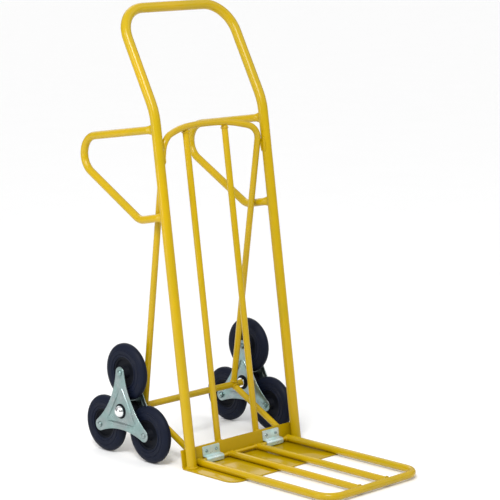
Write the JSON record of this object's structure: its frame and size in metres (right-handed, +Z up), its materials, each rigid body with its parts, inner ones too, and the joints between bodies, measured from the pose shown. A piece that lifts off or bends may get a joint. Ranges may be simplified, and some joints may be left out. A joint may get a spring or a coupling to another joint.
{
  "type": "stair-climbing sack truck",
  "caption": "Tubular steel sack truck with a folding toe frame, side handles and turning stars of small wheels that climb stairs.",
  "frame": {"origin": "on the floor, midway between the uprights, where their centre lines meet the underside of the toe plate", "axes": "+Z up, -Y towards the front of the toe frame, X across the truck from wheel star to wheel star"},
  "size_m": [0.5492, 0.9407, 1.2494],
  "materials": {
    "frame_paint": "glossy powder coat, lightly uneven at the welds",
    "zinc_plate": "bright zinc plating with a faint green-blue tint",
    "chrome": "polished",
    "rubber": "matte solid rubber",
    "black_plastic": "satin moulded plastic"
  },
  "bodies": {
    "frame": {"main_frame_tube": "frame_paint", "rear_loop_tube": "frame_paint", "axle_tube": "frame_paint", "base_plate": "frame_paint", "load_bar_left": "frame_paint", "brace_left": "frame_paint", "side_handle_left": "frame_paint", "load_bar_right": "frame_paint", "brace_right": "frame_paint", "side_handle_right": "frame_paint", "hinge_bracket_left": "zinc_plate", "hinge_bracket_right": "zinc_plate", "bracket_rivet_left_1": "zinc_plate", "bracket_rivet_left_2": "zinc_plate", "bracket_rivet_right_1": "zinc_plate", "bracket_rivet_right_2": "zinc_plate", "axle_rod": "chrome", "axle_cap_left": "chrome", "axle_cap_right": "chrome", "axle_collar_left": "chrome", "axle_collar_right": "chrome"},
    "toe_frame": {"toe_hoop_tube": "frame_paint", "toe_hinge_rod": "frame_paint", "toe_bar_left": "frame_paint", "toe_bar_right": "frame_paint"},
    "wheel_star_left": {"star_plate_outer_left": "zinc_plate", "star_plate_inner_left": "zinc_plate", "star_hub_bush_left": "black_plastic", "wheel_bolt_top_left": "zinc_plate", "wheel_nut_top_left": "zinc_plate", "wheel_bolt_rear_left": "zinc_plate", "wheel_nut_rear_left": "zinc_plate", "wheel_bolt_front_left": "zinc_plate", "wheel_nut_front_left": "zinc_plate"},
    "wheel_star_right": {"star_plate_outer_right": "zinc_plate", "star_plate_inner_right": "zinc_plate", "star_hub_bush_right": "black_plastic", "wheel_bolt_top_right": "zinc_plate", "wheel_nut_top_right": "zinc_plate", "wheel_bolt_rear_right": "zinc_plate", "wheel_nut_rear_right": "zinc_plate", "wheel_bolt_front_right": "zinc_plate", "wheel_nut_front_right": "zinc_plate"},
    "wheel_top_left": {"tyre_top_left": "rubber", "wheel_rim_top_left": "black_plastic"},
    "wheel_rear_left": {"tyre_rear_left": "rubber", "wheel_rim_rear_left": "black_plastic"},
    "wheel_front_left": {"tyre_front_left": "rubber", "wheel_rim_front_left": "black_plastic"},
    "wheel_top_right": {"tyre_top_right": "rubber", "wheel_rim_top_right": "black_plastic"},
    "wheel_rear_right": {"tyre_rear_right": "rubber", "wheel_rim_rear_right": "black_plastic"},
    "wheel_front_right": {"tyre_front_right": "rubber", "wheel_rim_front_right": "black_plastic"}
  },
  "joints": [
    {"name": "toe_fold", "type": "hinge", "parent": "frame", "child": "toe_frame", "pos_m": [0, 0.0055, 0.0143], "axis": [-1, 0, 0], "range_deg": [0, 97]},
    {"name": "star_turn_left", "type": "hinge", "parent": "frame", "child": "wheel_star_left", "pos_m": [-0.232, 0.227, 0.134], "axis": [1, 0, 0], "continuous": true},
    {"name": "star_turn_right", "type": "hinge", "parent": "frame", "child": "wheel_star_right", "pos_m": [0.232, 0.227, 0.134], "axis": [1, 0, 0], "continuous": true},
    {"name": "wheel_roll_top_left", "type": "hinge", "parent": "wheel_star_left", "child": "wheel_top_left", "pos_m": [-0.232, 0.227, 0.242], "axis": [1, 0, 0], "continuous": true},
    {"name": "wheel_roll_rear_left", "type": "hinge", "parent": "wheel_star_left", "child": "wheel_rear_left", "pos_m": [-0.232, 0.32053, 0.08], "axis": [1, 0, 0], "continuous": true},
    {"name": "wheel_roll_front_left", "type": "hinge", "parent": "wheel_star_left", "child": "wheel_front_left", "pos_m": [-0.232, 0.13347, 0.08], "axis": [1, 0, 0], "continuous": true},
    {"name": "wheel_roll_top_right", "type": "hinge", "parent": "wheel_star_right", "child": "wheel_top_right", "pos_m": [0.232, 0.227, 0.242], "axis": [1, 0, 0], "continuous": true},
    {"name": "wheel_roll_rear_right", "type": "hinge", "parent": "wheel_star_right", "child": "wheel_rear_right", "pos_m": [0.232, 0.32053, 0.08], "axis": [1, 0, 0], "continuous": true},
    {"name": "wheel_roll_front_right", "type": "hinge", "parent": "wheel_star_right", "child": "wheel_front_right", "pos_m": [0.232, 0.13347, 0.08], "axis": [1, 0, 0], "continuous": true}
  ]
}
